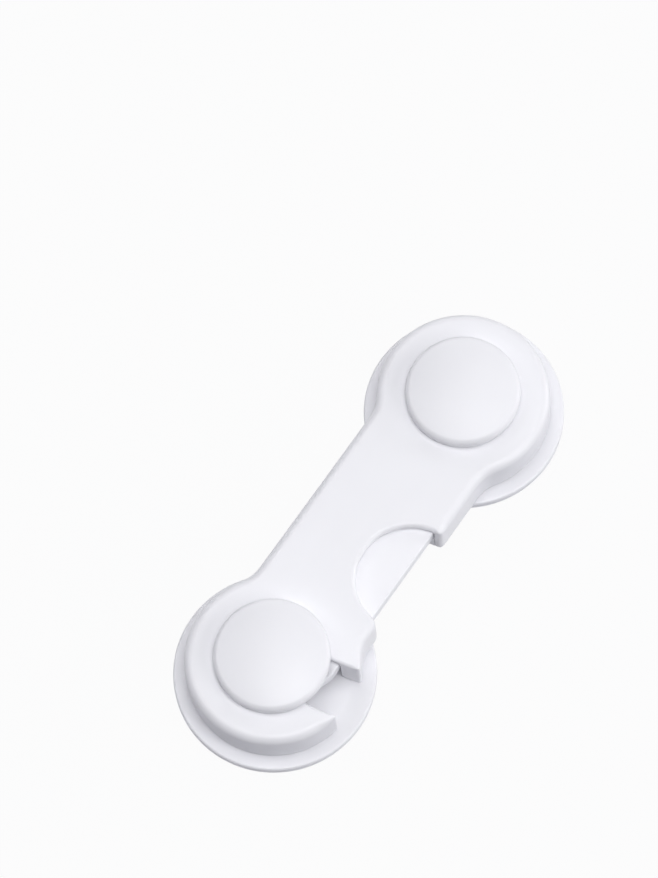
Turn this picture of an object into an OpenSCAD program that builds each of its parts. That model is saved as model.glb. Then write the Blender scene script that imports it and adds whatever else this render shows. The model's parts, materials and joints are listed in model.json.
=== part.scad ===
// Child-safety lock for a cabinet: two stick-on round bases joined by a swinging arm.
// The arm turns on the pivot post and hooks the neck of the catch post from the side.
// A sprung lever in the arm closes the hook's mouth and is pressed at the thumb notch to open it.
// Millimetres. X runs from the catch post to the pivot post, Z up from the stuck surface.

/* [Posts and bases] */
// Distance between the pivot post and the catch post
post_pitch = 65.5; // [62:0.5:80]
// Diameter of each round base
base_d = 40; // [37:0.5:46]
// Thickness of a base's disc
base_t = 1.9; // [1.6:0.1:2.6]
// Rounding of a base's upper edge
base_edge_r = 0.5; // [0.3:0.05:1]
// Diameter of the pivot post
pivot_post_d = 14; // [12:0.5:16]
// Diameter of the catch post's neck
neck_d = 7.2; // [6.6:0.1:7.6]
// Width of the ring that carries the arm round the pivot post
bearing_ring_w = 2.2; // [1:0.1:3]
// Thickness of the walls left round the core in the pivot post
post_wall = 1.6; // [1.2:0.1:2]

/* [Foam pads] */
// Thickness of a foam pad
pad_t = 0.8; // [0.5:0.1:1.6]
// How far a pad stands back from the base's edge
pad_inset = 0.6; // [0.2:0.1:2]

/* [Caps] */
// Diameter of a cap
cap_d = 22.8; // [20:0.2:26]
// Height of a cap from its underside to the top of its dome
cap_h = 3.8; // [3.6:0.1:5]
// Rounding between a cap's side and its dome
cap_edge_r = 1.3; // [0.6:0.1:1.6]
// Slope of the dome where it meets the rounding, in degrees
cap_dome_slope = 14; // [8:1:18]
// Thickness of a cap's walls
cap_wall = 1.8; // [1.4:0.1:2.2]
// Skin left above the screw's pilot hole
cap_skin = 1.2; // [1:0.1:1.4]
// Diameter of the spigot on a post that plugs into the cap
spigot_d = 4.8; // [4.4:0.1:5.2]
// Height of that spigot
spigot_h = 1; // [0.6:0.1:1.4]

/* [Arm] */
// Width of the arm's bar
arm_w = 25.8; // [24.6:0.1:27]
// Radius of the round lobe at each end
lobe_r = 17.2; // [16.6:0.1:18.4]
// Radius of the hollow blend between the bar and a lobe
blend_r = 6.966; // [5:0.001:9]
// Height of the arm
arm_h = 9; // [8.8:0.1:10.4]
// Rounding of the arm's upper edge
arm_edge_r = 1.7; // [0.6:0.1:2.4]
// Gap between the bases and the arm
arm_lift = 0.5; // [0.3:0.1:1.2]
// Gap between the arm and the caps
cap_lift = 0.3; // [0.2:0.1:1]
// Thickness of the arm's walls
arm_wall = 1.4; // [1.2:0.1:1.6]
// Thickness of the arm's roof
arm_roof = 1.5; // [1.3:0.1:1.8]
// Thickness of the back plate
plate_t = 1; // [0.8:0.1:1.4]
// Wall of the sleeve that runs on the pivot post
sleeve_wall = 1.8; // [1.2:0.1:2.2]

/* [Thumb notch] */
// Radius of the half-round thumb notch
notch_r = 10.6; // [9:0.1:11.4]
// Distance of the notch's centre from the catch post, along the arm
notch_x = 28.2; // [27.6:0.1:32]
// How much the rounded corner towards the hook widens the notch at the arm's edge
notch_near_w = 1.59; // [0.3:0.01:1.7]
// How much the rounded corner towards the pivot widens it
notch_far_w = 0.53; // [0.3:0.01:1.7]
// Thickness of the sill that stands round the notch, under the lever
sill_wall = 1.2; // [0.8:0.1:1.4]

/* [Hook] */
// Room between the neck and the hook's lower jaw
jaw_gap = 1; // [0.6:0.1:1.4]
// Distance from the neck's centre line back to the upper jaw
mouth_back = 5.3; // [5:0.1:6]
// Where the mouth starts to widen, measured from the neck's centre
mouth_start = 1.5; // [1:0.1:2]
// Room between the neck and its seat
seat_gap = 0.5; // [0.3:0.1:0.8]

/* [Latch] */
// How far the lever rocks when it is pressed, in degrees
latch_travel = 22; // [18:1:23]
// Distance of the lever's pin from the catch post, along the arm
latch_x = 5; // [4:0.1:6]
// Radius of the lever's hub
hub_r = 2.5; // [2.3:0.1:2.7]
// Diameter of the lever's pin
pin_d = 2; // [1.6:0.1:2.2]
// Thickness of the lever
lever_t = 3; // [2.4:0.1:3.2]
// Gap between the press plate's edge and the arm's inner wall
press_gap = 0.35; // [0.3:0.05:1]
// How far the press plate runs on under the arm past the notch
press_lap = 2; // [1:0.1:3]
// Distance from the neck's centre to the claw's back
claw_back_y = 11.3; // [10.6:0.1:11.6]
// How far the claw's tip reaches past the neck's centre
claw_tip = 1.2; // [0.8:0.1:1.4]
// Radius of the claw's nose
claw_nose_r = 8; // [7.6:0.1:9]
// How far the claw's root runs on past the pin
spine_w = 6.2; // [4:0.1:6.3]

/* [Spring] */
// Wire diameter of the return spring
wire_d = 0.45; // [0.3:0.05:0.5]
// Rise of the spring in one turn
coil_pitch = 0.9; // [0.86:0.01:0.92]
// Length of the spring's leg on the lever
lever_leg = 6; // [4.5:0.1:6.2]
// Length of the spring's leg on the arm
arm_leg = 7; // [5:0.1:8]

/* [Screws] */
// Shank diameter of the base screws
screw_d = 2.5; // [2:0.1:2.8]
// Head diameter of the base screws
screw_head_d = 4.4; // [4:0.1:4.8]
// Head height of the base screws
screw_head_h = 1.5; // [1.2:0.1:1.7]
// Shank diameter of the back plate's screws
arm_screw_d = 1.8; // [1.4:0.1:2]
// Head diameter of the back plate's screws
arm_screw_head_d = 3.4; // [2.8:0.1:3.6]
// Diameter of the bosses that take the back plate's screws
boss_d = 4; // [3.6:0.1:4.4]

/* [Hidden] */
$fn = 96;

// Clearances: running fits, seated fits, gaps between moving pieces, and the overrun of cuts
run_gap = 0.08;
seat_fit = 0.02;
plate_gap = 0.1;
move_gap = 0.3;
slide_gap = 0.2;
cut_over = 1;

// Steps along the rounded profiles
edge_steps = 6;
dome_steps = 10;

// Heights
base_top = pad_t + base_t;
arm_bottom = base_top + arm_lift;
arm_top = arm_bottom + arm_h;
cap_bottom = arm_top + cap_lift;
cap_top = cap_bottom + cap_h;
plate_top = arm_bottom + plate_t;
roof_bottom = arm_top - arm_roof;
lever_top = roof_bottom - slide_gap;
lever_bottom = lever_top - lever_t;
hub_bottom = plate_top + slide_gap;
sill_top = lever_bottom - slide_gap;

// Radii
base_r = base_d / 2;
pad_r = base_r - pad_inset;
post_r = pivot_post_d / 2;
neck_r = neck_d / 2;
cap_r = cap_d / 2;
spigot_r = spigot_d / 2;
pin_r = pin_d / 2;
wire_r = wire_d / 2;
boss_r = boss_d / 2;
screw_r = screw_d / 2;
screw_head_r = screw_head_d / 2;
arm_screw_r = arm_screw_d / 2;
arm_screw_head_r = arm_screw_head_d / 2;
sleeve_r = post_r + run_gap + sleeve_wall;
seat_r = neck_r + seat_gap;
arm_half = arm_w / 2;
cavity_r = lobe_r - arm_wall;

// Lower rounding of bases and caps, as a share of their upper rounding
under_round_share = 0.35;

// Screw through a base: recess for its head, hole, and reach into the cap
screw_hole_r = screw_r + slide_gap;
screw_recess_r = screw_head_r + move_gap;
screw_recess_h = screw_head_h + slide_gap;
screw_seat = pad_t + screw_recess_h;
pilot_top = cap_top - cap_skin;
screw_tip = pilot_top - slide_gap;
drive_slot_shares = [1.3, 0.28, 0.55];

// Centre of the hollow blend between bar and lobe, from the post and from the arm's centre line
blend_y = arm_half + blend_r;
blend_x = sqrt(pow(lobe_r + blend_r, 2) - pow(blend_y, 2));

// Mouth of the hook: a band about the pivot, so the neck leaves on the arm's own swing
mouth_far_r = post_pitch + neck_r + jaw_gap;
mouth_near_r = post_pitch - mouth_back;

// Lever: pin against the lobe's inner wall, but no further out than the fan reaches its hub.
// Claw: a band about the pin
home_y = arm_half - arm_wall - move_gap;
latch_y = min(sqrt(pow(cavity_r - hub_r - move_gap, 2) - pow(latch_x, 2)), home_y + hub_r / 2);
latch_pin_at = [latch_x, latch_y];
claw_in_r = norm(latch_pin_at) + neck_r + move_gap;
claw_out_r = latch_y + claw_back_y;
press_edge_y = arm_half - arm_wall - press_gap;
press_end_x = notch_x + notch_r + press_lap;
lever_jaw_r = mouth_near_r - arm_wall - move_gap;
press_near_x = post_pitch - sqrt(pow(lever_jaw_r, 2) - pow(press_edge_y, 2));

// Inner edge of the lever: pressed home, it lies along the bar's inner wall
home_gap = home_y - latch_y;
home_run = (press_end_x - latch_x - home_gap * sin(latch_travel)) / cos(latch_travel);
function inner_edge(run) = latch_pin_at + run * [cos(latch_travel), -sin(latch_travel)]
    + home_gap * [sin(latch_travel), cos(latch_travel)];

// Spring: coil round the hub, one leg on the lever and one on the arm, each bearing on a peg
hub_neck_share = 0.6;
hub_neck_r = pin_r + run_gap + pin_r * hub_neck_share;
coil_r = hub_neck_r + plate_gap + wire_r;
coil_top = lever_bottom - slide_gap - wire_r;
coil_turns = 2;
coil_start = 33;
coil_end = 90 + coil_turns * 360;
coil_rings = 12;
wire_sides = 6;
leg_steps = 2;
peg_r = 0.75;
lever_peg_share = 0.8;
arm_peg_share = 0.85;

// Points of the wire's centre line, from the lever's leg through the coil to the arm's leg
function coil_point(angle) = [latch_x + coil_r * cos(angle), latch_y + coil_r * sin(angle),
    coil_top - coil_pitch * (angle - coil_start) / 360];
function coil_way(angle) = [-sin(angle), cos(angle), 0];
function lever_leg_point(share) = coil_point(coil_start) - share * lever_leg * coil_way(coil_start);
function arm_leg_point(share) = coil_point(coil_end) + share * arm_leg * coil_way(coil_end);
coil_count = ceil((coil_end - coil_start) * coil_rings / 360);
spring_path = concat(
    [for (i = [0 : leg_steps - 1]) lever_leg_point(1 - i / leg_steps)],
    [for (i = [0 : coil_count]) coil_point(coil_start + (coil_end - coil_start) * i / coil_count)],
    [for (i = [1 : leg_steps]) arm_leg_point(i / leg_steps)]);

// Least gap between neighbouring turns, measured on points a turn apart
coil_gaps = [for (i = [0 : coil_count], j = [0 : coil_count]) if (abs(i - j) * 2 > coil_rings)
    norm(spring_path[i + leg_steps] - spring_path[j + leg_steps]) - wire_d];
echo(least_spring_gap = min(coil_gaps));

// Screws of the back plate, round the pivot sleeve and round the hook's seat
pivot_boss_ring_r = (sleeve_r + cavity_r) / 2;
catch_boss_ring_r = (seat_r + arm_wall + cavity_r) / 2;
pivot_boss_angles = [0, 135, 225];
catch_boss_angles = [140, 205];
boss_places = concat(
    [for (a = catch_boss_angles) catch_boss_ring_r * [cos(a), sin(a)]],
    [for (a = pivot_boss_angles) [post_pitch, 0] + pivot_boss_ring_r * [cos(a), sin(a)]]);
arm_screw_sink = plate_gap / 2;
arm_screw_head_h = arm_screw_head_r - arm_screw_r;
arm_screw_tip = roof_bottom - slide_gap;

module at_catch() {
    translate([-post_pitch / 2, 0, 0]) children();
}

module at_pivot() {
    translate([post_pitch / 2, 0, 0]) children();
}

module slab(bottom, top) {
    translate([0, 0, bottom]) linear_extrude(top - bottom) children();
}

module rod(radius, bottom, top) {
    translate([0, 0, bottom]) cylinder(r = radius, h = top - bottom);
}

// Points of an arc about a centre, from one angle to another
function arc(centre, radius, from, to, steps) =
    [for (i = [0 : steps]) let(a = from + (to - from) * i / steps) centre + radius * [cos(a), sin(a)]];

// Plan of the arm, drawn in from its edge by inset: two lobes and a waisted bar
module arm_plan(inset) {
    for (x = [0, post_pitch]) translate([x, 0]) circle(lobe_r - inset);
    difference() {
        polygon([[0, 0], [blend_x, -blend_y], [post_pitch - blend_x, -blend_y],
                 [post_pitch, 0], [post_pitch - blend_x, blend_y], [blend_x, blend_y]]);
        for (side = [0, 1]) mirror([0, side]) waist_plan(inset);
    }
}

module waist_plan(inset) {
    for (x = [blend_x, post_pitch - blend_x]) translate([x, blend_y]) circle(blend_r + inset);
    translate([blend_x, arm_half - inset]) square([post_pitch - 2 * blend_x, blend_r + inset + cut_over]);
}

// What the rounding takes off the arm's upper edge, drawn as depth in from the edge and height
module edge_section() {
    difference() {
        translate([-cut_over, arm_top - arm_edge_r]) square(arm_edge_r + cut_over);
        translate([arm_edge_r, arm_top - arm_edge_r]) circle(arm_edge_r);
    }
}

// That section carried round the lobes, through the blends and along the bar
module edge_cut() {
    for (end = [0, 1]) translate([end * post_pitch, 0]) mirror([end, 0]) {
        difference() {
            rotate_extrude() translate([lobe_r, 0]) mirror([1, 0]) edge_section();
            slab(arm_bottom, arm_top + 2 * cut_over)
                polygon([[0, 0], [2 * blend_x, -2 * blend_y], [2 * blend_x, 2 * blend_y]]);
        }
        for (side = [0, 1]) mirror([0, side]) intersection() {
            translate([blend_x, blend_y]) rotate_extrude() translate([blend_r, 0]) edge_section();
            slab(arm_bottom, arm_top + 2 * cut_over) polygon([[0, 0], [blend_x, 0], [blend_x, blend_y]]);
        }
    }
    for (side = [0, 1]) mirror([0, side]) translate([blend_x, 0, 0]) rotate([90, 0, 90])
        linear_extrude(post_pitch - 2 * blend_x) translate([arm_half, 0]) mirror([1, 0]) edge_section();
}

// Plan of the space for the neck: round seat and side mouth, widened by grow
module mouth_plan(grow) {
    circle(seat_r + grow);
    intersection() {
        difference() {
            translate([post_pitch, 0]) circle(mouth_far_r + grow);
            translate([post_pitch, 0]) circle(mouth_near_r - grow);
        }
        translate([-lobe_r, -2 * lobe_r]) square([2 * lobe_r, 2 * lobe_r - mouth_start + grow]);
    }
}

// Plan of the thumb notch, centred on the arm's edge, with its two rounded corners
module notch_plan() {
    translate([notch_x, -arm_half]) {
        circle(notch_r);
        mirror([1, 0]) notch_corner(notch_near_w);
        notch_corner(notch_far_w);
    }
}

module notch_corner(widening) {
    corner_x = notch_r + widening;
    corner_r = widening + pow(widening, 2) / (2 * notch_r);
    difference() {
        polygon([[0, 0], [corner_x, corner_r], [corner_x, -cut_over], [0, -cut_over]]);
        translate([corner_x, corner_r]) circle(corner_r);
    }
}

// Band about the lever's pin in which the claw moves
module claw_band(gap) {
    translate(latch_pin_at) difference() {
        circle(claw_out_r + gap);
        circle(claw_in_r - gap);
    }
}

module claw_plan() {
    difference() {
        intersection() {
            claw_band(0);
            translate([-claw_tip, -2 * claw_out_r]) square([latch_x + spine_w + claw_tip, 2 * claw_out_r]);
        }
        difference() {
            translate([latch_x - 2 * claw_nose_r, -2 * claw_out_r])
                square([2 * claw_nose_r, 2 * claw_out_r]);
            translate([latch_x, claw_nose_r - claw_back_y]) circle(claw_nose_r);
        }
    }
}

// Fan of the lever from its pin to the press plate's edge, clear of the hook's walls
module lever_plan() {
    difference() {
        polygon([inner_edge(0), inner_edge(home_run), [press_end_x, -press_edge_y],
                 [press_near_x, -press_edge_y]]);
        mouth_plan(arm_wall + move_gap);
    }
}

// Rounded base with its post, spigot, screw hole and recess for the screw's head. Children join its body
module base(radius) {
    under_r = base_edge_r * under_round_share;
    difference() {
        union() {
            rotate_extrude() polygon(concat(
                [[0, pad_t]],
                arc([base_r - under_r, pad_t + under_r], under_r, -90, 0, edge_steps),
                arc([base_r - base_edge_r, base_top - base_edge_r], base_edge_r, 0, 90, edge_steps),
                [[0, base_top]]));
            rod(radius, base_top - base_t / 2, cap_bottom);
            rod(spigot_r, cap_bottom - base_t / 2, cap_bottom + spigot_h);
            children();
        }
        rod(screw_recess_r, pad_t - cut_over, screw_seat);
        rod(screw_hole_r, pad_t, cap_bottom + spigot_h + cut_over);
    }
}

// Domed cap: side, rounding, dome, hollow underside, socket for the spigot and pilot hole
module cap() {
    under_r = cap_edge_r * under_round_share;
    rim_r = cap_r - cap_edge_r + cap_edge_r * sin(cap_dome_slope);
    dome_r = rim_r / sin(cap_dome_slope);
    edge_z = cap_top - dome_r * (1 - cos(cap_dome_slope)) - cap_edge_r * cos(cap_dome_slope);
    boss_out_r = spigot_r + cap_wall;
    hollow_top = edge_z + cap_edge_r - cap_wall;
    difference() {
        rotate_extrude() polygon(concat(
            [[0, cap_bottom]],
            arc([cap_r - under_r, cap_bottom + under_r], under_r, -90, 0, edge_steps),
            arc([cap_r - cap_edge_r, edge_z], cap_edge_r, 0, 90 - cap_dome_slope, edge_steps),
            arc([0, cap_top - dome_r], dome_r, 90 - cap_dome_slope, 90, dome_steps)));
        difference() {
            rod(cap_r - cap_wall, cap_bottom - cut_over, hollow_top);
            rod(boss_out_r, cap_bottom - 2 * cut_over, hollow_top + cut_over);
        }
        rod(spigot_r + seat_fit, cap_bottom - cut_over, cap_bottom + spigot_h + seat_fit);
        rod(screw_r + seat_fit, cap_bottom, pilot_top);
    }
}

// Pan-head screw driven from below, with a cross recess and a pointed end
module base_screw() {
    slot = screw_head_r * drive_slot_shares;
    difference() {
        union() {
            rod(screw_head_r, screw_seat - screw_head_h, screw_seat);
            rod(screw_r, screw_seat - screw_head_h / 2, screw_tip - screw_r);
            translate([0, 0, screw_tip - screw_r]) cylinder(r1 = screw_r, r2 = screw_r / 3, h = screw_r);
        }
        for (turn = [0, 90]) rotate(turn)
            translate([-slot[0] / 2, -slot[1] / 2, screw_seat - screw_head_h - cut_over])
                cube([slot[0], slot[1], slot[2] + cut_over]);
    }
}

module pad() {
    color("gainsboro") rod(pad_r, 0, pad_t);
}

module pivot_adhesive_pad() {
    at_pivot() pad();
}

module catch_adhesive_pad() {
    at_catch() pad();
}

module pivot_base() {
    core_in_r = screw_recess_r + post_wall;
    core_out_r = post_r - post_wall;
    color("whitesmoke") at_pivot() difference() {
        base(post_r) rod(post_r + bearing_ring_w, base_top - base_t / 2, arm_bottom - run_gap);
        difference() {
            rod(core_out_r, pad_t - cut_over, cap_bottom - post_wall);
            rod(core_in_r, pad_t - 2 * cut_over, cap_bottom);
        }
    }
}

module catch_base() {
    color("whitesmoke") at_catch() base(neck_r);
}

module pivot_screw() {
    color("silver") at_pivot() base_screw();
}

module catch_screw() {
    color("silver") at_catch() base_screw();
}

module pivot_cap() {
    color("white") at_pivot() cap();
}

module catch_cap() {
    color("white") at_catch() cap();
}

// Hollow of the shell, open underneath
module shell_hollow() {
    slab(arm_bottom - cut_over, roof_bottom) difference() {
        arm_plan(arm_wall);
        mouth_plan(arm_wall);
        translate([post_pitch, 0]) circle(sleeve_r);
    }
}

module arm_shell() {
    color("white") at_catch() difference() {
        union() {
            difference() {
                slab(arm_bottom, arm_top) arm_plan(0);
                edge_cut();
                shell_hollow();
            }
            for (place = boss_places) translate(place) rod(boss_r, plate_top, roof_bottom + arm_roof / 2);
        }
        slab(arm_bottom - cut_over, arm_top + cut_over) mouth_plan(0);
        slab(arm_bottom - cut_over, arm_top + cut_over) notch_plan();
        translate([post_pitch, 0]) rod(post_r + run_gap, arm_bottom - cut_over, arm_top + cut_over);
        slab(arm_bottom - cut_over, roof_bottom) intersection() {
            claw_band(move_gap);
            translate([latch_x, -lobe_r]) square([press_near_x - latch_x, lobe_r]);
        }
        for (place = boss_places) translate(place) rod(arm_screw_r + seat_fit, arm_bottom, roof_bottom);
        translate(latch_pin_at) rod(pin_r + seat_fit, roof_bottom - cut_over, roof_bottom + arm_roof / 2);
    }
}

// Peg on the back plate against which the spring's leg bears
module spring_peg() {
    leg_at = arm_leg_point(arm_peg_share);
    translate([leg_at[0], leg_at[1] - wire_r - seat_fit - peg_r])
        rod(peg_r, plate_top - plate_t / 2, leg_at[2] + wire_d);
}

module arm_back_plate() {
    color("whitesmoke") at_catch() difference() {
        union() {
            slab(arm_bottom, plate_top) arm_plan(arm_wall + plate_gap);
            slab(plate_top - plate_t / 2, sill_top) intersection() {
                arm_plan(arm_wall + plate_gap);
                translate([notch_x, -arm_half]) circle(notch_r + sill_wall);
            }
            spring_peg();
        }
        slab(arm_bottom - cut_over, plate_top + cut_over) mouth_plan(arm_wall + plate_gap);
        slab(arm_bottom - cut_over, sill_top + cut_over) notch_plan();
        translate([post_pitch, 0]) rod(sleeve_r + plate_gap, arm_bottom - cut_over, plate_top + cut_over);
        for (place = boss_places) translate(place) {
            rod(arm_screw_r + plate_gap, arm_bottom - cut_over, plate_top + cut_over);
            translate([0, 0, arm_bottom - plate_gap]) cylinder(
                r1 = arm_screw_head_r + 2 * plate_gap,
                r2 = arm_screw_r + plate_gap,
                h = arm_screw_head_h + plate_gap);
        }
        translate(latch_pin_at) rod(pin_r + seat_fit, arm_bottom + plate_t / 3, plate_top + cut_over);
    }
}

// Countersunk screws that hold the back plate to the shell's bosses
module arm_screws() {
    color("silver") at_catch() for (place = boss_places) translate(place) difference() {
        union() {
            translate([0, 0, arm_bottom + arm_screw_sink]) cylinder(
                r1 = arm_screw_head_r,
                r2 = arm_screw_r,
                h = arm_screw_head_h);
            rod(arm_screw_r, arm_bottom + arm_screw_head_h, arm_screw_tip - arm_screw_r);
            translate([0, 0, arm_screw_tip - arm_screw_r])
                cylinder(r1 = arm_screw_r, r2 = arm_screw_r / 3, h = arm_screw_r);
        }
        slot = arm_screw_head_r * drive_slot_shares;
        for (turn = [0, 90]) rotate(turn)
            translate([-slot[0] / 2, -slot[1] / 2, arm_bottom - cut_over])
                cube([slot[0], slot[1], slot[2] / 2 + cut_over]);
    }
}

module latch_lever() {
    color("white") at_catch() difference() {
        union() {
            slab(lever_bottom, lever_top) {
                lever_plan();
                claw_plan();
                translate(latch_pin_at) circle(hub_r);
            }
            translate(latch_pin_at) rod(hub_neck_r, hub_bottom, lever_top);
            lever_peg();
        }
        translate(latch_pin_at) rod(pin_r + run_gap / 2, hub_bottom - cut_over, lever_top + cut_over);
    }
}

// Peg on the lever that the spring's leg pushes
module lever_peg() {
    leg_at = lever_leg_point(lever_peg_share);
    side = [-cos(coil_start), -sin(coil_start)];
    place = [leg_at[0], leg_at[1]] + (wire_r + seat_fit + peg_r) * side;
    translate(place) rod(peg_r, coil_top - wire_d, lever_top);
}

module latch_pin() {
    color("silver") at_catch() translate(latch_pin_at)
        rod(pin_r, arm_bottom + plate_t / 3 + seat_fit, roof_bottom + arm_roof / 2 - seat_fit);
}

// Wire swept along the spring's centre line
module latch_spring() {
    last = len(spring_path) - 1;
    ways = [for (i = [0 : last])
        let(step = spring_path[min(i + 1, last)] - spring_path[max(i - 1, 0)])
        step / norm(step)];
    points = [for (i = [0 : last], s = [0 : wire_sides - 1])
        let(
            level = cross([0, 0, 1], ways[i]) / norm(cross([0, 0, 1], ways[i])),
            a = s * 360 / wire_sides)
        spring_path[i] + wire_r * (cos(a) * level + sin(a) * cross(ways[i], level))];
    sides = [for (i = [0 : last - 1], s = [0 : wire_sides - 1])
        let(
            a = i * wire_sides + s,
            b = i * wire_sides + (s + 1) % wire_sides)
        each [[a, a + wire_sides, b], [b, a + wire_sides, b + wire_sides]]];
    first_end = [for (s = [1 : wire_sides - 2]) [0, s, s + 1]];
    top = last * wire_sides;
    last_end = [for (s = [1 : wire_sides - 2]) [top, top + s + 1, top + s]];
    color("silver") at_catch() polyhedron(points, concat(first_end, sides, last_end));
}

pivot_adhesive_pad();
pivot_base();
pivot_screw();
pivot_cap();
catch_adhesive_pad();
catch_base();
catch_screw();
catch_cap();
arm_shell();
arm_back_plate();
arm_screws();
latch_lever();
latch_pin();
latch_spring();
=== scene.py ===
import json
import math

import bmesh
import bpy
import numpy as np
from mathutils import Matrix, Vector
from mathutils.geometry import tessellate_polygon


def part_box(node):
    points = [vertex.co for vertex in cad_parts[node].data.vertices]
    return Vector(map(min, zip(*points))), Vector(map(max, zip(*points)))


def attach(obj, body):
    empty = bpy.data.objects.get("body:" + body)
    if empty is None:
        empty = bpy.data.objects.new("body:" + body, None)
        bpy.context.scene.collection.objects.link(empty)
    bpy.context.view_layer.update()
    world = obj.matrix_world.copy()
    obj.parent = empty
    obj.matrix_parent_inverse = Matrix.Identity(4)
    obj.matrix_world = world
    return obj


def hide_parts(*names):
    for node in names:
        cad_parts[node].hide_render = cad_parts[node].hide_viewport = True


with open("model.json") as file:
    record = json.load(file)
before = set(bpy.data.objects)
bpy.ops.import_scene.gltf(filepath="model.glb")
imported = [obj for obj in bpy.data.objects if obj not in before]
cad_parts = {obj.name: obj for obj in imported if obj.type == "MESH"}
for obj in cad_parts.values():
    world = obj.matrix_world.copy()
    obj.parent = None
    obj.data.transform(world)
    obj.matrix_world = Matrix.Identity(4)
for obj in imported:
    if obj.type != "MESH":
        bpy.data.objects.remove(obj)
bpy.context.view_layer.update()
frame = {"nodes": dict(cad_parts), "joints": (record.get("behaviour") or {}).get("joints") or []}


# Arm shell
# Upper moulding of the arm, in white plastic: two round lobes, a waisted bar, the thumb notch in one
# edge and the side mouth of the hook. It is open underneath, and its sleeve runs on the pivot post.
mm = 0.001
joint_at = {joint["name"]: np.array(joint["pos_m"]) / mm for joint in frame["joints"]}
pivot_at = complex(*joint_at["arm_swing"][:2])
catch_at = complex(*joint_at["catch_swivel"][:2])
latch_at = complex(*joint_at["latch_press"][:2])
shell_low, shell_high = (np.array(corner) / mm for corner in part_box("arm_shell"))
arm_bottom, arm_top = shell_low[2], shell_high[2]
lobe_r = shell_high[1]
arm_half, blend_r = 12.9, 6.966
arm_wall, arm_roof = 1.4, 1.5
roof_bottom = arm_top - arm_roof
notch_along = 28.2
notch_at = catch_at + complex(notch_along, -arm_half)
notch_r, notch_near_r, notch_far_r = 10.6, 1.70925, 0.54325
mouth_far_r, mouth_near_r = 70.1, 60.2
seat_r, mouth_start = 4.1, 1.5
claw_window_near, claw_window_far, claw_window_start = 16.6, 23.6, 5.0
outer_edge_r, notch_edge_r, mouth_edge_r = 1.7, 0.9, 0.7
edge_spread, edge_steps, top_hem = 1.2, 11, 1.1
tip_edge_r, tip_edge_rise, corner_edge_r, corner_edge_rise = 0.1, 0.4, 0.45, 0.5
tip_wall, tip_wall_rise, corner_wall, corner_wall_rise = 0.08, 0.45, 0.5, 0.5
lower_edge, lower_edge_share = 0.25, 0.6
path_step, path_softness, path_slack, mouth_inset, kept_every = 0.05, 0.5, 0.15, 0.3, 5
merge_gap = 0.001
sleeve_r, bore_r = 8.88, 7.08
boss_r, pilot_r, pilot_top, plate_top, boss_steps = 2.0, 0.92, 10.6, 4.2, 32
catch_boss_away, pivot_boss_away = 10.65, 12.34
shell_bosses = [catch_at + catch_boss_away * np.exp(1j * np.radians(turn)) for turn in (140, 205)]
shell_bosses += [pivot_at + pivot_boss_away * np.exp(1j * np.radians(turn)) for turn in (0, 135, 225)]


def arc(centre, radius, start, stop, step=0.1):
    """Points of a circle about centre from one angle to another, in degrees, one every step."""
    count = max(2, int(abs(radius * np.radians(stop - start)) / step))
    return centre + radius * np.exp(1j * np.radians(np.linspace(start, stop, count + 1)))


def bearing(away):
    """Direction of a complex offset, in degrees."""
    return np.degrees(np.angle(away))


def crossing(centre_a, radius_a, centre_b, radius_b, side):
    """Point where two circles cross, on one side of the line from the first centre to the second."""
    apart = centre_b - centre_a
    along = (abs(apart) ** 2 + radius_a ** 2 - radius_b ** 2) / (2 * abs(apart))
    across = side * np.sqrt(radius_a ** 2 - along ** 2)
    return centre_a + complex(along, across) * apart / abs(apart)


def softened(points, softness, step=path_step):
    """Closed path through points, evenly spaced, its corners eased by a Gaussian that wide along it."""
    loop = np.append(points, points[0])
    run = np.append(0, np.cumsum(np.abs(np.diff(loop))))
    count = int(run[-1] / step)
    even = np.linspace(0, run[-1], count, endpoint=False)
    path = np.interp(even, run, loop.real) + 1j * np.interp(even, run, loop.imag)
    waves = np.fft.fftfreq(count, run[-1] / count)
    return np.fft.ifft(np.fft.fft(path) * np.exp(-2 * (np.pi * waves * softness) ** 2))


def inward(path):
    """Unit normals to the left of a closed path, into the piece when the path runs anticlockwise."""
    along = np.roll(path, -1) - np.roll(path, 1)
    return 1j * along / np.abs(along)


def grid_faces(rows, columns):
    """Quads of a grid of points whose last column joins its first."""
    row, column = np.mgrid[0:rows - 1, 0:columns]
    beside = (column + 1) % columns
    corners = [row * columns + column, row * columns + beside,
               (row + 1) * columns + beside, (row + 1) * columns + column]
    return np.stack(corners, -1).reshape(-1, 4)


def wall(path, normals, insets, heights):
    """Profile carried round a closed path: row k lies inset k in from the path, at height k."""
    insets, heights = np.broadcast_arrays(insets, heights)
    plan = path + insets * normals
    points = np.stack([plan.real, plan.imag, heights + 0 * plan.real], -1)
    return points.reshape(-1, 3), grid_faces(*plan.shape)


def flat(loops, height):
    """Level face at one height, inside the first closed path and outside the others, in triangles."""
    rings = [np.c_[loop.real, loop.imag, 0 * loop.real] for loop in loops]
    faces = tessellate_polygon([ring.tolist() for ring in rings])
    points = np.vstack(rings) + [0, 0, height]
    return points, np.array(faces)


def circle(centre, radius, steps=96):
    """Evenly spaced points of a full circle."""
    return centre + radius * np.exp(2j * np.pi * np.arange(steps) / steps)


def turned(profile, centre, steps=96):
    """Surface of revolution: each point of the profile, radius + height i, goes round an upright axis."""
    plan = circle(0, 1, steps) * np.real(profile)[:, None] + centre
    heights = np.imag(profile)[:, None] + 0 * plan.real
    points = np.stack([plan.real, plan.imag, heights], -1)
    return points.reshape(-1, 3), grid_faces(*plan.shape)


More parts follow.
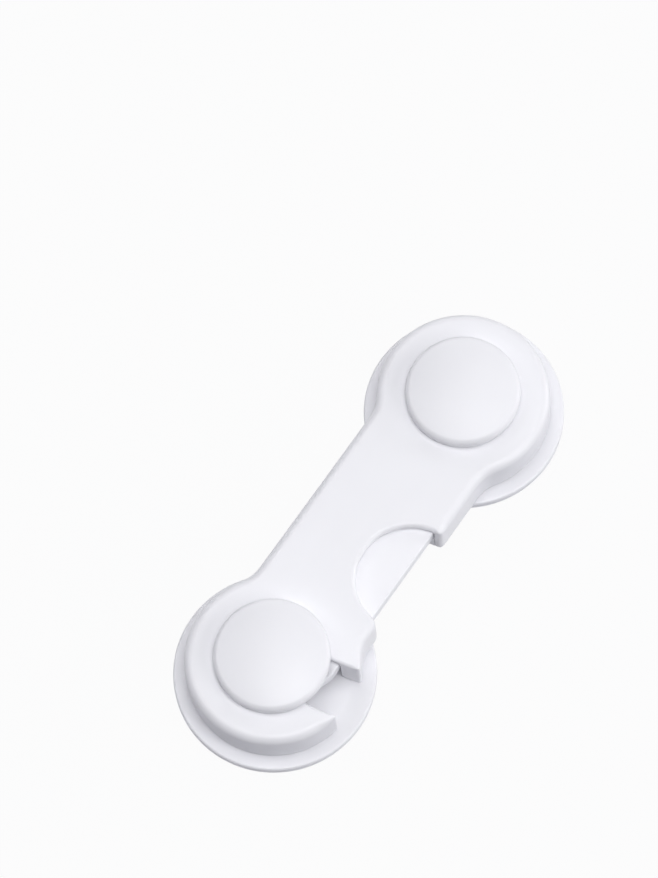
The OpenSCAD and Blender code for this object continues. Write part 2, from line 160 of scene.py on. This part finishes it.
def add_piece(name, surfaces, body, crisp=32):
    """One object from several surfaces: doubles merged, faces outwards, edges over crisp degrees sharp."""
    firsts = np.cumsum([0] + [len(points) for points, _ in surfaces])
    points = np.vstack([points for points, _ in surfaces]) * mm
    faces = [face for (_, part), first in zip(surfaces, firsts) for face in (part + first).tolist()]
    mesh = bpy.data.meshes.new(name)
    mesh.from_pydata(points.tolist(), [], faces)
    shape = bmesh.new()
    shape.from_mesh(mesh)
    bmesh.ops.remove_doubles(shape, verts=shape.verts, dist=merge_gap * mm)
    bmesh.ops.recalc_face_normals(shape, faces=shape.faces)
    shape.to_mesh(mesh)
    shape.free()
    mesh.shade_smooth()
    mesh.set_sharp_from_angle(angle=math.radians(crisp))
    piece = bpy.data.objects.new(name, mesh)
    bpy.context.scene.collection.objects.link(piece)
    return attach(piece, body)


def arm_outline():
    """Plan of the arm, anticlockwise: lobes with their blends into the bar, the hook's mouth and the notch;
    then the sharp tips of the mouth and the corners of the notch."""
    blend_up = arm_half + blend_r
    blend_along = np.sqrt((lobe_r + blend_r) ** 2 - blend_up ** 2)
    lean = np.degrees(np.arctan2(blend_up, blend_along))
    near_corner = notch_at + complex(-np.sqrt(notch_r ** 2 + 2 * notch_r * notch_near_r), notch_near_r)
    far_corner = notch_at + complex(np.sqrt(notch_r ** 2 + 2 * notch_r * notch_far_r), notch_far_r)
    lower_tip = crossing(catch_at, lobe_r, pivot_at, mouth_far_r, -1)
    upper_tip = crossing(catch_at, lobe_r, pivot_at, mouth_near_r, -1)
    seat_side = np.degrees(np.arcsin(mouth_start / seat_r))
    far_side = np.degrees(np.arcsin(mouth_start / mouth_far_r))
    near_side = np.degrees(np.arcsin(mouth_start / mouth_near_r))
    points = np.concatenate([
        arc(pivot_at + complex(-blend_along, -blend_up), blend_r, 90, lean),
        arc(pivot_at, lobe_r, lean - 180, 180 - lean),
        arc(pivot_at + complex(-blend_along, blend_up), blend_r, -lean, -90),
        arc(catch_at + complex(blend_along, blend_up), blend_r, -90, lean - 180),
        arc(catch_at, lobe_r, lean, bearing(lower_tip - catch_at) + 360),
        arc(pivot_at, mouth_far_r, bearing(lower_tip - pivot_at) + 360, 180 + far_side),
        arc(catch_at, seat_r, 180 + seat_side, -seat_side),
        arc(pivot_at, mouth_near_r, 180 + near_side, bearing(upper_tip - pivot_at) + 360),
        arc(catch_at, lobe_r, bearing(upper_tip - catch_at), -lean),
        arc(catch_at + complex(blend_along, -blend_up), blend_r, 180 - lean, 90),
        arc(near_corner, notch_near_r, -90, bearing(notch_at - near_corner)),
        arc(notch_at, notch_r, bearing(near_corner - notch_at), bearing(far_corner - notch_at)),
        arc(far_corner, notch_far_r, bearing(notch_at - far_corner) + 360, 270)])
    tips = [lower_tip, upper_tip, catch_at + seat_r * np.exp(-1j * np.radians(seat_side))]
    corners = [near_corner - notch_near_r, far_corner - notch_far_r]
    return softened(points, path_softness), tips, corners


def eased_along(values, width, step=path_step):
    """Values round a closed path, blurred by a Gaussian that wide along it."""
    waves = np.fft.fftfreq(len(values), step)
    return np.fft.ifft(np.fft.fft(values) * np.exp(-2 * (np.pi * waves * width) ** 2)).real


def shell_surfaces():
    """Wall of the shell from the roof's underside, round its lower rim, up and over the rounded edge;
    then its flat top and roof, the sleeve and the screw bosses."""
    path, tips, corners = arm_outline()
    normals = inward(path)
    in_notch = np.abs(path - notch_at) < notch_r + path_slack
    swing_r = np.abs(path - pivot_at)
    in_mouth = (np.abs(path - catch_at) < lobe_r - mouth_inset) & (path.imag < seat_r + path_slack)
    in_mouth &= (swing_r > mouth_near_r - path_slack) & (swing_r < mouth_far_r + path_slack)
    edge = np.where(in_notch, notch_edge_r, np.where(in_mouth, mouth_edge_r, outer_edge_r))
    edge = eased_along(edge, edge_spread)
    tip_away = np.min([np.abs(path - tip) for tip in tips], axis=0)
    corner_away = np.min([np.abs(path - corner) for corner in corners], axis=0)
    edge = np.min([edge, tip_edge_r + tip_edge_rise * tip_away,
                   corner_edge_r + corner_edge_rise * corner_away], axis=0)
    thick = np.min([arm_wall + 0 * edge, tip_wall + tip_wall_rise * tip_away,
                    corner_wall + corner_wall_rise * corner_away], axis=0)
    low = np.minimum(lower_edge, lower_edge_share * edge)
    open_notch = in_notch & (path.imag > arm_wall - arm_half)
    band = np.abs(path - latch_at)
    window = in_mouth & ((path - catch_at).real > claw_window_start)
    window &= (band > claw_window_near) & (band < claw_window_far)
    foot = np.where(open_notch | window, roof_bottom, arm_bottom)
    steps = np.flatnonzero(foot != np.roll(foot, -1))
    keep = np.unique(np.concatenate([np.arange(0, len(path), kept_every), steps, (steps + 1) % len(path)]))
    path, normals, edge, thick, low, foot = (row[keep] for row in (path, normals, edge, thick, low, foot))
    turn = np.radians(np.linspace(0, 90, edge_steps))[:, None]
    insets = np.vstack([thick, thick, low, 0 * edge, edge * (1 - np.cos(turn)), top_hem * edge])
    heights = np.vstack([roof_bottom + 0 * foot, foot, foot, foot + low,
                         arm_top - edge + edge * np.sin(turn), arm_top + 0 * edge])
    sleeve = np.array([complex(sleeve_r, roof_bottom), complex(sleeve_r, arm_bottom),
                       complex(bore_r, arm_bottom), complex(bore_r, arm_top - lower_edge),
                       complex(bore_r + lower_edge, arm_top)])
    boss = np.array([complex(boss_r, roof_bottom), complex(boss_r, plate_top), complex(pilot_r, plate_top),
                     complex(pilot_r, pilot_top), complex(0, pilot_top)])
    top = flat([path + insets[-1] * normals, circle(pivot_at, bore_r + lower_edge)], arm_top)
    roof_holes = [circle(pivot_at, sleeve_r)] + [circle(at, boss_r, boss_steps) for at in shell_bosses]
    roof = flat([path + thick * normals] + roof_holes, roof_bottom)
    return [wall(path, normals, insets, heights), top, roof, turned(sleeve, pivot_at)] + [
        turned(boss, at, boss_steps) for at in shell_bosses]


def link(tree, source, target):
    """Joins an output socket to an input socket."""
    tree.links.new(source, target)


def add_node(tree, kind, **inputs):
    """Shader node of one kind, with plain inputs set by name; underscores stand for spaces."""
    made = tree.nodes.new(kind)
    for name, value in inputs.items():
        made.inputs[name.replace("_", " ")].default_value = value
    return made


def maths(tree, operation):
    """Maths node that does one operation."""
    made = tree.nodes.new("ShaderNodeMath")
    made.operation = operation
    return made


def tint_mix(tree):
    """Mix node for two colours."""
    made = tree.nodes.new("ShaderNodeMix")
    made.data_type = "RGBA"
    return made


def principled(name):
    """New material, with its node tree and its Principled shader."""
    material = bpy.data.materials.new(name)
    material.use_nodes = True
    return material, material.node_tree, material.node_tree.nodes["Principled BSDF"]


def moulded_skin():
    """Node group for moulded plastic: slow clouds of tint, gloss along faint flow lines, and a fine grain."""
    tree = bpy.data.node_groups.new("moulded_skin", "ShaderNodeTree")
    sockets = [("Colour", "INPUT", "NodeSocketColor"), ("Shade", "INPUT", "NodeSocketColor"),
               ("Gloss", "INPUT", "NodeSocketFloat"), ("Colour", "OUTPUT", "NodeSocketColor"),
               ("Roughness", "OUTPUT", "NodeSocketFloat"), ("Height", "OUTPUT", "NodeSocketFloat")]
    for name, way, kind in sockets:
        tree.interface.new_socket(name, in_out=way, socket_type=kind)
    given = tree.nodes.new("NodeGroupInput")
    out = tree.nodes.new("NodeGroupOutput")
    place = tree.nodes.new("ShaderNodeTexCoord").outputs["Object"]
    cloud = add_node(tree, "ShaderNodeTexNoise", Scale=70.0, Detail=3.0, Roughness=0.45)
    grain = add_node(tree, "ShaderNodeTexNoise", Scale=3200.0, Detail=2.0, Roughness=0.5)
    stretch = add_node(tree, "ShaderNodeMapping", Scale=(60.0, 420.0, 420.0))
    flow = add_node(tree, "ShaderNodeTexNoise", Scale=1.0, Detail=2.0, Roughness=0.4)
    link(tree, place, cloud.inputs["Vector"])
    link(tree, place, grain.inputs["Vector"])
    link(tree, place, stretch.inputs["Vector"])
    link(tree, stretch.outputs["Vector"], flow.inputs["Vector"])
    spread = add_node(tree, "ShaderNodeMapRange", From_Min=0.3, From_Max=0.7)
    link(tree, cloud.outputs["Fac"], spread.inputs["Value"])
    tint = tint_mix(tree)
    link(tree, spread.outputs["Result"], tint.inputs["Factor"])
    link(tree, given.outputs["Colour"], tint.inputs["A"])
    link(tree, given.outputs["Shade"], tint.inputs["B"])
    link(tree, tint.outputs["Result"], out.inputs["Colour"])
    gloss = add_node(tree, "ShaderNodeMapRange", From_Min=0.3, From_Max=0.7, To_Min=-0.05, To_Max=0.07)
    link(tree, flow.outputs["Fac"], gloss.inputs["Value"])
    rough = maths(tree, "ADD")
    link(tree, gloss.outputs["Result"], rough.inputs[0])
    link(tree, given.outputs["Gloss"], rough.inputs[1])
    link(tree, rough.outputs["Value"], out.inputs["Roughness"])
    height = maths(tree, "MULTIPLY_ADD")
    height.inputs[1].default_value = 0.35
    link(tree, grain.outputs["Fac"], height.inputs[0])
    link(tree, flow.outputs["Fac"], height.inputs[2])
    link(tree, height.outputs["Value"], out.inputs["Height"])
    return tree


skin_group = moulded_skin()


def white_plastic(name, colour, shade, gloss):
    """White moulded plastic: the skin group over a Principled shader, with its grain as a shallow bump."""
    material, tree, shader = principled(name)
    skin = tree.nodes.new("ShaderNodeGroup")
    skin.node_tree = skin_group
    skin.inputs["Colour"].default_value = (*colour, 1)
    skin.inputs["Shade"].default_value = (*shade, 1)
    skin.inputs["Gloss"].default_value = gloss
    bump = add_node(tree, "ShaderNodeBump", Strength=0.2, Distance=0.02 * mm)
    link(tree, skin.outputs["Colour"], shader.inputs["Base Color"])
    link(tree, skin.outputs["Roughness"], shader.inputs["Roughness"])
    link(tree, skin.outputs["Height"], bump.inputs["Height"])
    link(tree, bump.outputs["Normal"], shader.inputs["Normal"])
    shader.inputs["IOR"].default_value = 1.49
    return material


arm_white = white_plastic("arm_white", (0.885, 0.885, 0.915), (0.87, 0.87, 0.90), 0.36)
arm_shell = add_piece("arm_shell_moulding", shell_surfaces(), "arm")
arm_shell.data.materials.append(arm_white)
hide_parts("arm_shell")


# Latch lever
# One white moulding that rocks on a pin under the arm's roof: a flat plate whose edge is pressed in the
# thumb notch and whose claw closes the hook's mouth. The hub and the peg beneath it carry the spring.
lever_low, lever_high = (np.array(corner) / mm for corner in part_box("latch_lever"))
hub_bottom, lever_top = lever_low[2], lever_high[2]
lever_t, lever_edge_r, lever_softness, lever_step = 3.0, 0.3, 0.5, 0.2
lever_bottom = lever_top - lever_t
press_edge, press_end, press_end_inner = -11.15, 40.8, -3.33
hub_r, hub_neck_r, hub_bore_r, hub_steps = 2.5, 1.68, 1.04, 48
hub_start, hub_stop = -40.6, 268.6
heel = [6.3 + 0.4j, 7.1 + 0.4j]
claw_in_r, claw_out_r, claw_back = 16.9, 23.3, -11.3
claw_in_start, claw_out_stop = complex(7.3, -4.7), complex(7.6, press_edge)
claw_nose_r, claw_nose_start, claw_tip, claw_tip_drop = 8.0, -140.8, -1.2, -15.72
plate_edge_steps, plate_hem = 14, 1.15
peg_at = catch_at + complex(8.461, 8.524)
peg_r, peg_bottom, peg_steps = 0.75, 6.625, 32


def eased(corners, steps=9):
    """Closed outline from corners given as (x, y, rounding): each corner becomes an arc of its rounding."""
    x, y, rounding = np.array(corners, float).T
    point = x + 1j * y
    back, on = np.roll(point, 1) - point, np.roll(point, -1) - point
    back, on = back / np.abs(back), on / np.abs(on)
    half = np.abs(np.angle(on / back)) / 2
    centre = point + (back + on) / np.abs(back + on) * rounding / np.sin(half)
    first = point + back * rounding / np.tan(half) - centre
    last = point + on * rounding / np.tan(half) - centre
    turn = np.where(rounding > 0, np.angle(last * np.conj(first)), 0)
    return (centre[:, None] + first[:, None] * np.exp(1j * turn[:, None] * np.linspace(0, 1, steps))).ravel()


def plate(path, bottom, top, edge, lower_holes, upper_holes):
    """Level plate inside a closed path, with its upper and lower edges rounded and holes in either face."""
    normals = inward(path)
    turn = np.radians(np.linspace(-90, 90, plate_edge_steps))[:, None]
    hem = plate_hem * edge
    insets = np.vstack([np.full((1, 1), hem), edge * (1 - np.cos(turn)), np.full((1, 1), hem)])
    middle = np.where(turn < 0, bottom + edge, top - edge)
    heights = np.vstack([np.full((1, 1), bottom), middle + edge * np.sin(turn), np.full((1, 1), top)])
    rim = path + hem * normals
    insets = insets + 0 * path.real
    return [wall(path, normals, insets, heights),
            flat([rim] + lower_holes, bottom), flat([rim] + upper_holes, top)]


def lever_surfaces():
    """Plate of the lever, anticlockwise: hub, side along the hook's walls, claw, pressed edge and hidden end;
    then the hub's neck with its bore, and the spring's peg, turned about their own axes."""
    latch = latch_at - catch_at
    inner_arc = latch + arc(0, claw_in_r, bearing(claw_in_start - latch),
                            bearing(complex(claw_tip - latch.real, claw_tip_drop)))
    nose = arc(complex(latch.real, claw_nose_r + claw_back), claw_nose_r, claw_nose_start, -90)
    outer_arc = latch + arc(0, claw_out_r, -90, bearing(claw_out_stop - latch))
    outline = np.concatenate([
        latch + arc(0, hub_r, hub_start, hub_stop), heel, inner_arc, nose, outer_arc,
        [complex(press_end, press_edge), complex(press_end, press_end_inner)]])
    path = softened(catch_at + outline, lever_softness, lever_step)
    neck = np.array([complex(hub_bore_r, lever_top), complex(hub_bore_r, hub_bottom),
                     complex(hub_neck_r, hub_bottom), complex(hub_neck_r, lever_bottom)])
    peg = np.array([complex(0, peg_bottom), complex(peg_r, peg_bottom), complex(peg_r, lever_bottom)])
    lower_holes = [circle(latch_at, hub_neck_r, hub_steps), circle(peg_at, peg_r, peg_steps)]
    upper_holes = [circle(latch_at, hub_bore_r, hub_steps)]
    return plate(path, lever_bottom, lever_top, lever_edge_r, lower_holes, upper_holes) + [
        turned(neck, latch_at, hub_steps), turned(peg, peg_at, peg_steps)]


lever_white = white_plastic("lever_white", (0.905, 0.905, 0.935), (0.89, 0.89, 0.92), 0.33)
latch_lever = add_piece("latch_lever_moulding", lever_surfaces(), "latch")
latch_lever.data.materials.append(lever_white)
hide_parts("latch_lever")


# Latch pin, spring and the arm's screws
# Small steel pieces inside the arm: the zinc-plated pin that the lever rocks on, the bright wire spring
# round its hub, and the zinc-plated self-tapping screws that hold the back plate.
def brushed_steel(name, colour, roughness, streak):
    """Plated steel: fine turning streaks and soft clouds in its gloss, and a faint tint in its colour."""
    material, tree, shader = principled(name)
    place = tree.nodes.new("ShaderNodeTexCoord").outputs["Object"]
    stretch = add_node(tree, "ShaderNodeMapping", Scale=(600.0, 600.0, streak))
    lines = add_node(tree, "ShaderNodeTexNoise", Scale=1.0, Detail=4.0, Roughness=0.6)
    cloud = add_node(tree, "ShaderNodeTexNoise", Scale=900.0, Detail=2.0)
    link(tree, place, stretch.inputs["Vector"])
    link(tree, stretch.outputs["Vector"], lines.inputs["Vector"])
    link(tree, place, cloud.inputs["Vector"])
    gloss = add_node(tree, "ShaderNodeMapRange", To_Min=roughness - 0.1, To_Max=roughness + 0.15)
    link(tree, lines.outputs["Fac"], gloss.inputs["Value"])
    link(tree, gloss.outputs["Result"], shader.inputs["Roughness"])
    tint = tint_mix(tree)
    tint.inputs["A"].default_value = (*colour, 1)
    tint.inputs["B"].default_value = (*(0.82 * c for c in colour), 1)
    link(tree, cloud.outputs["Fac"], tint.inputs["Factor"])
    link(tree, tint.outputs["Result"], shader.inputs["Base Color"])
    bump = add_node(tree, "ShaderNodeBump", Strength=0.3, Distance=0.01 * mm)
    link(tree, lines.outputs["Fac"], bump.inputs["Height"])
    link(tree, bump.outputs["Normal"], shader.inputs["Normal"])
    shader.inputs["Metallic"].default_value = 1.0
    return material


def finish_node(name, material):
    """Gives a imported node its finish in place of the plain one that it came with."""
    mesh = frame["nodes"][name].data
    mesh.materials.clear()
    mesh.materials.append(material)


zinc = brushed_steel("zinc_plate", (0.72, 0.72, 0.75), 0.34, 9000.0)
spring_wire = brushed_steel("spring_wire", (0.62, 0.62, 0.64), 0.26, 600.0)
finish_node("latch_pin", zinc)
finish_node("latch_spring", spring_wire)
finish_node("arm_screws", zinc)


# Back plate
# Flat white moulding let into the underside of the arm. It closes the hollow over the lever and is
# held by the countersunk screws.
finish_node("arm_back_plate", arm_white)


# Bases
# Two round moulded discs in white plastic with soft edges. The pivot's has a wide cored post with a ring
# that the arm rides on, and the catch's has a slim neck that the hook grips.
catch_low, catch_high = (np.array(corner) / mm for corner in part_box("catch_base"))
base_r = (catch_high[0] - catch_low[0]) / 2
base_bottom, spigot_top = catch_low[2], catch_high[2]
base_t, spigot_h, recess_h, core_roof, ring_w, ride_gap = 1.9, 1.0, 1.7, 1.6, 2.2, 0.08
base_top = base_bottom + base_t
base_edge_r, base_foot_r, root_r, crisp_r = 0.5, 0.175, 0.7, 0.15
cap_bottom = spigot_top - spigot_h
screw_hole_r, recess_r, recess_top = 1.45, 2.5, base_bottom + recess_h
spigot_r, neck_r, post_r = 2.4, 3.6, 7.0
core_in_r, core_out_r, core_top = 4.1, 5.4, cap_bottom - core_roof
ring_r, ring_top = post_r + ring_w, arm_bottom - ride_gap
disc_steps = 160


def held(profile, hold=0.3):
    """Profile with two more points on each long straight, close to its ends, so that flats shade as flats."""
    step = np.diff(profile)
    size = np.abs(step)
    near = np.where(size > 0, step / np.maximum(size, 1e-9), 0) * hold
    rows = np.stack([profile[:-1], profile[:-1] + near, profile[1:] - near], 1)
    keep = np.stack([size > 0, size > 3 * hold, size > 3 * hold], 1)
    return np.append(rows[keep], profile[-1])


def ring_profile(corners):
    """Closed profile for turning, from corners given as (radius, height, rounding)."""
    outline = eased(corners)
    return held(np.append(outline, outline[0]))


disc_edge = [(base_r, base_bottom, base_foot_r), (base_r, base_top, base_edge_r)]
screw_well = [(screw_hole_r, recess_top, 0), (recess_r, recess_top, 0), (recess_r, base_bottom, crisp_r)]
spigot = [(spigot_r, cap_bottom, 0), (spigot_r, spigot_top, crisp_r), (screw_hole_r, spigot_top, 0)]
base_profiles = {
    "pivot": screw_well + [
        (core_in_r, base_bottom, crisp_r), (core_in_r, core_top, crisp_r), (core_out_r, core_top, crisp_r),
        (core_out_r, base_bottom, crisp_r)] + disc_edge + [
        (ring_r, base_top, crisp_r), (ring_r, ring_top, crisp_r), (post_r, ring_top, crisp_r),
        (post_r, cap_bottom, crisp_r)] + spigot,
    "catch": screw_well + disc_edge + [(neck_r, base_top, root_r), (neck_r, cap_bottom, crisp_r)] + spigot}
end_at = {"pivot": pivot_at, "catch": catch_at}
base_white = white_plastic("base_white", (0.885, 0.885, 0.915), (0.87, 0.87, 0.90), 0.36)
for end, corners in base_profiles.items():
    disc = turned(ring_profile(corners), end_at[end], disc_steps)
    base = add_piece(f"{end}_base_moulding", [disc], f"{end}_end")
    base.data.materials.append(base_white)
    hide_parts(f"{end}_base")


# Caps
# Round domed heads in the same white plastic, hollow underneath, that plug onto the spigots and keep the
# arm on its post and the hook under its head.
cap_low, cap_high = (np.array(corner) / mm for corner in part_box("catch_cap"))
cap_r, cap_top = (cap_high[0] - cap_low[0]) / 2, cap_high[2]
cap_edge_r, cap_foot_r, cap_slope, cap_wall, cap_roof = 1.3, 0.45, 14.0, 1.8, 1.2
cap_boss_r, cap_pilot_r, cap_pilot_top = spigot_r + cap_wall, 1.27, cap_top - cap_roof
cap_lip_r, cap_root_r, cap_hollow_r = 0.1, 0.3, 0.5
cap_edge_step, cap_dome_step = 0.15, 0.5
socket_fit = 0.02
socket_r, socket_top = spigot_r + socket_fit, spigot_top + socket_fit


def cap_profile():
    """Half section of a cap, from the pilot hole's end round the hollow, up the side and over the dome."""
    slope = np.radians(cap_slope)
    rim_r = cap_r - cap_edge_r * (1 - np.sin(slope))
    dome_r = rim_r / np.sin(slope)
    edge_z = cap_top - dome_r * (1 - np.cos(slope)) - cap_edge_r * np.cos(slope)
    hollow_top = edge_z + cap_edge_r - cap_wall
    under = eased([
        (0, cap_pilot_top, 0), (cap_pilot_r, cap_pilot_top, 0), (cap_pilot_r, socket_top, 0),
        (socket_r, socket_top, 0), (socket_r, cap_bottom, cap_lip_r), (cap_boss_r, cap_bottom, cap_lip_r),
        (cap_boss_r, hollow_top, cap_root_r), (cap_r - cap_wall, hollow_top, cap_hollow_r),
        (cap_r - cap_wall, cap_bottom, cap_lip_r), (cap_r, cap_bottom, cap_foot_r), (cap_r, edge_z, 0)])
    edge = arc(complex(cap_r - cap_edge_r, edge_z), cap_edge_r, 0, 90 - cap_slope, cap_edge_step)
    dome = arc(complex(0, cap_top - dome_r), dome_r, 90 - cap_slope, 90, cap_dome_step)
    dome[-1] = complex(0, cap_top)
    return np.concatenate([held(under), edge[1:], dome[1:]])


cap_white = white_plastic("cap_white", (0.875, 0.875, 0.905), (0.86, 0.86, 0.89), 0.38)
for end, at in end_at.items():
    cap = add_piece(f"{end}_cap_moulding", [turned(cap_profile(), at, disc_steps)], f"{end}_end")
    cap.data.materials.append(cap_white)
    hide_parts(f"{end}_cap")


# Base screws
# Zinc-plated pan-head screws driven from below, up through each base and its post into the cap.
finish_node("pivot_screw", zinc)
finish_node("catch_screw", zinc)


# Foam pads
# Die-cut discs of white closed-cell foam with adhesive on both faces, stuck under the bases after their
# screws are in. The knife leaves a slightly waved, open-celled edge. Painted shade in the cells' hollows
# darkens the pads and stands in for the shadow under the discs' edges.
pad_low, pad_high = (np.array(corner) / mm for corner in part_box("catch_adhesive_pad"))
pad_r, pad_top = (pad_high[0] - pad_low[0]) / 2, pad_high[2]
pad_edge_r, pad_wave, pad_steps = 0.12, 0.05, 240
wave_counts, pad_phases = (7, 19, 43), (0.4, 1.9)


def pad_surface(at, phase):
    """Disc of foam: a rounded profile turned round the axis, its edge drawn in by three sets of waves."""
    profile = held(eased([(0, 0, 0), (pad_r, 0, pad_edge_r), (pad_r, pad_top, pad_edge_r), (0, pad_top, 0)]))
    points, faces = turned(profile, at, pad_steps)
    away = points[:, 0] + 1j * points[:, 1] - at
    turn = np.angle(away)
    wave = sum(np.sin(count * turn + rank * phase) for rank, count in enumerate(wave_counts, 1))
    sets = len(wave_counts)
    away = away * (1 - pad_wave * (sets + wave) / (2 * sets) * np.abs(away) / pad_r ** 2)
    return np.c_[(away + at).real, (away + at).imag, points[:, 2]], faces


def cell_foam(name, colour, shade):
    """Closed-cell foam: small round cells that dent the surface, and painted shade that darkens their
    hollows.
    """
    material, tree, shader = principled(name)
    place = tree.nodes.new("ShaderNodeTexCoord").outputs["Object"]
    cells = add_node(tree, "ShaderNodeTexVoronoi", Scale=3600.0)
    cloud = add_node(tree, "ShaderNodeTexNoise", Scale=160.0, Detail=3.0)
    link(tree, place, cells.inputs["Vector"])
    link(tree, place, cloud.inputs["Vector"])
    # Painted shade: the nearer a cell's centre, the more of the shade colour it gets.
    painted_hollow_shade = add_node(tree, "ShaderNodeMapRange", From_Max=0.6, To_Min=1.0, To_Max=0.0)
    link(tree, cells.outputs["Distance"], painted_hollow_shade.inputs["Value"])
    tint = tint_mix(tree)
    tint.inputs["A"].default_value = (*colour, 1)
    tint.inputs["B"].default_value = (*shade, 1)
    link(tree, painted_hollow_shade.outputs["Result"], tint.inputs["Factor"])
    link(tree, tint.outputs["Result"], shader.inputs["Base Color"])
    rough = add_node(tree, "ShaderNodeMapRange", To_Min=0.7, To_Max=0.95)
    link(tree, cloud.outputs["Fac"], rough.inputs["Value"])
    link(tree, rough.outputs["Result"], shader.inputs["Roughness"])
    bump = add_node(tree, "ShaderNodeBump", Strength=0.5, Distance=0.05 * mm)
    link(tree, cells.outputs["Distance"], bump.inputs["Height"])
    link(tree, bump.outputs["Normal"], shader.inputs["Normal"])
    return material


# The second colour is painted shade, put in the cells' hollows, which makes the pads darker overall.
foam = cell_foam("pad_foam", (0.82, 0.82, 0.83), (0.56, 0.56, 0.58))
for (end, at), phase in zip(end_at.items(), pad_phases):
    pad = add_piece(f"{end}_foam_pad", [pad_surface(at, phase)], f"{end}_end")
    pad.data.materials.append(foam)
    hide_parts(f"{end}_adhesive_pad")


# Studio
# Plain grey floor that shows nearly white to the camera, under an overhead softbox. Three more softboxes
# light the arm's walls and two on the hook's side light the mouth. The shade is slightly blue.
floor_half, floor_drop = 30.0, 0.05 * mm
floor_grey, floor_show = (0.45, 0.45, 0.50), 0.95
floor_mesh = bpy.data.meshes.new("floor")
floor_corners = floor_half * np.array([(-1, -1, 0), (1, -1, 0), (1, 1, 0), (-1, 1, 0)])
floor_mesh.from_pydata((floor_corners - [0, 0, floor_drop]).tolist(), [], [(0, 1, 2, 3)])
floor = bpy.data.objects.new("floor", floor_mesh)
bpy.context.scene.collection.objects.link(floor)


def studio_floor():
    """Grey floor that shows nearly white to the camera and in reflections, and takes a faint shadow."""
    material, tree, shader = principled("studio_floor")
    shader.inputs["Base Color"].default_value = (*floor_grey, 1)
    shader.inputs["Roughness"].default_value = 0.9
    shader.inputs["Specular IOR Level"].default_value = 0.0
    glow = add_node(tree, "ShaderNodeEmission", Strength=1.0)
    rays = tree.nodes.new("ShaderNodeLightPath")
    seen = maths(tree, "MAXIMUM")
    seen_any = maths(tree, "MAXIMUM")
    share = maths(tree, "MULTIPLY")
    share.inputs[1].default_value = floor_show
    blend = tree.nodes.new("ShaderNodeMixShader")
    link(tree, rays.outputs["Is Camera Ray"], seen.inputs[0])
    link(tree, rays.outputs["Is Glossy Ray"], seen.inputs[1])
    link(tree, seen.outputs["Value"], seen_any.inputs[0])
    link(tree, rays.outputs["Is Transmission Ray"], seen_any.inputs[1])
    link(tree, seen_any.outputs["Value"], share.inputs[0])
    link(tree, share.outputs["Value"], blend.inputs[0])
    link(tree, shader.outputs["BSDF"], blend.inputs[1])
    link(tree, glow.outputs["Emission"], blend.inputs[2])
    link(tree, blend.outputs["Shader"], tree.nodes["Material Output"].inputs["Surface"])
    return material


floor_mesh.materials.append(studio_floor())
world = bpy.data.worlds.new("surround")
bpy.context.scene.world = world
world.use_nodes = True
background = world.node_tree.nodes["Background"]
background.inputs["Color"].default_value = (0.88, 0.89, 1.0, 1)
background.inputs["Strength"].default_value = 0.04
lamp_away = 1.3
clear, cool = (1.0, 1.0, 1.0), (0.96, 0.96, 1.0)


def soft_light(name, turn, height, size, watts, colour):
    """Square softbox that faces the object from a bearing and a height, both in degrees."""
    data = bpy.data.lights.new(name, "AREA")
    data.shape = "SQUARE"
    data.size = size
    data.energy = watts
    data.color = colour
    turn, height = math.radians(turn), math.radians(height)
    way = Vector((math.cos(turn) * math.cos(height), math.sin(turn) * math.cos(height), math.sin(height)))
    lamp = bpy.data.objects.new(name, data)
    lamp.matrix_world = Matrix.Translation(lamp_away * way) @ way.to_track_quat("Z", "Y").to_matrix().to_4x4()
    bpy.context.scene.collection.objects.link(lamp)


soft_light("overhead_softbox", turn=0.0, height=89.0, size=0.8, watts=6.1, colour=clear)
soft_light("right_softbox", turn=-41.0, height=13.0, size=0.5, watts=4.8, colour=clear)
soft_light("mouth_softbox", turn=-84.0, height=30.0, size=0.6, watts=4.6, colour=clear)
soft_light("upper_softbox", turn=40.0, height=25.0, size=0.6, watts=2.8, colour=clear)
soft_light("far_softbox", turn=112.0, height=46.0, size=0.6, watts=3.4, colour=cool)
soft_light("near_softbox", turn=-106.0, height=70.0, size=0.6, watts=4.2, colour=cool)


# Camera
# Looks down on the lock from above the catch end, on the mouth's side, as a long lens would from a little
# over 0.8 m away. It is rolled so that the lock lies across the picture as in the photograph.
target = Vector((13.386, 19.459, 0.0)) * mm
azimuth, elevation, roll = (math.radians(turn) for turn in (-48.02, 70.449, -7.464))
distance = 0.8355
focal_px, image_height_px = 4176.2, 878.0
back = Vector((math.sin(azimuth) * math.cos(elevation), -math.cos(azimuth) * math.cos(elevation),
               math.sin(elevation)))
level = Vector((math.cos(azimuth), math.sin(azimuth), 0))
upright = back.cross(level)
right = math.cos(roll) * level + math.sin(roll) * upright
up = math.cos(roll) * upright - math.sin(roll) * level
camera_data = bpy.data.cameras.new("camera")
camera_data.sensor_fit = "VERTICAL"
camera_data.sensor_height = 36.0
camera_data.lens = focal_px * camera_data.sensor_height / image_height_px
camera = bpy.data.objects.new("camera", camera_data)
camera_turn = Matrix((right, up, back)).transposed().to_4x4()
camera.matrix_world = Matrix.Translation(target + distance * back) @ camera_turn
bpy.context.scene.collection.objects.link(camera)
bpy.context.scene.camera = camera
bpy.context.scene.view_settings.view_transform = "Standard"
